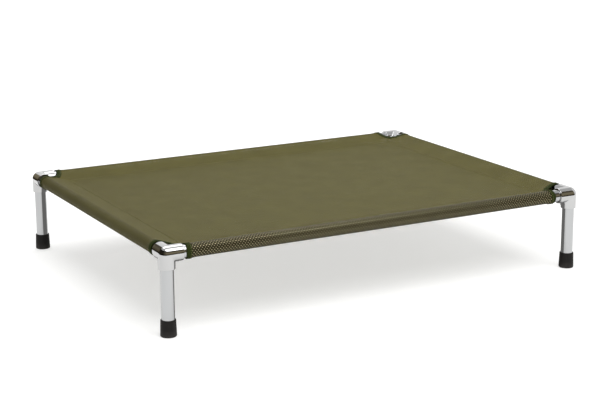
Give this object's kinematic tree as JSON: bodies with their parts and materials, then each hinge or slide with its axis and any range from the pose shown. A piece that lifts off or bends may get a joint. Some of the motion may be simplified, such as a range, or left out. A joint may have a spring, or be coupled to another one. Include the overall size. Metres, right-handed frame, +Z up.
{
  "type": "raised dog bed",
  "caption": "Raised pet bed: a mesh cover stretched over a rectangular chromed tube frame with corner fittings, short legs and rubber feet.",
  "frame": {"origin": "on the floor below the middle of the bed", "axes": "+X along the longer rails to the right, +Y from the front to the back, +Z up"},
  "size_m": [0.946, 0.72, 0.1735],
  "materials": {
    "chromed_tube": "bright chromed round steel tube",
    "chromed_casting": "polished and chromed zinc casting",
    "screw_steel": "blackened steel grub screw",
    "black_rubber": "moulded matt rubber",
    "mesh_cloth": "open olive green woven mesh",
    "binding_tape": "dark green woven tape"
  },
  "bodies": {
    "root": {"rail_tube_front": "chromed_tube", "rail_tube_back": "chromed_tube", "rail_tube_left": "chromed_tube", "rail_tube_right": "chromed_tube", "leg_tube_front_left": "chromed_tube", "corner_fitting_front_left": "chromed_casting", "grub_screws_front_left": "screw_steel", "foot_ferrule_front_left": "black_rubber", "cover_binding_front_left": "binding_tape", "leg_tube_front_right": "chromed_tube", "corner_fitting_front_right": "chromed_casting", "grub_screws_front_right": "screw_steel", "foot_ferrule_front_right": "black_rubber", "cover_binding_front_right": "binding_tape", "leg_tube_back_right": "chromed_tube", "corner_fitting_back_right": "chromed_casting", "grub_screws_back_right": "screw_steel", "foot_ferrule_back_right": "black_rubber", "cover_binding_back_right": "binding_tape", "leg_tube_back_left": "chromed_tube", "corner_fitting_back_left": "chromed_casting", "grub_screws_back_left": "screw_steel", "foot_ferrule_back_left": "black_rubber", "cover_binding_back_left": "binding_tape", "cover_sleeve_front": "mesh_cloth", "cover_sleeve_back": "mesh_cloth", "cover_sleeve_left": "mesh_cloth", "cover_sleeve_right": "mesh_cloth", "cover_panel": "mesh_cloth"}
  },
  "joints": []
}
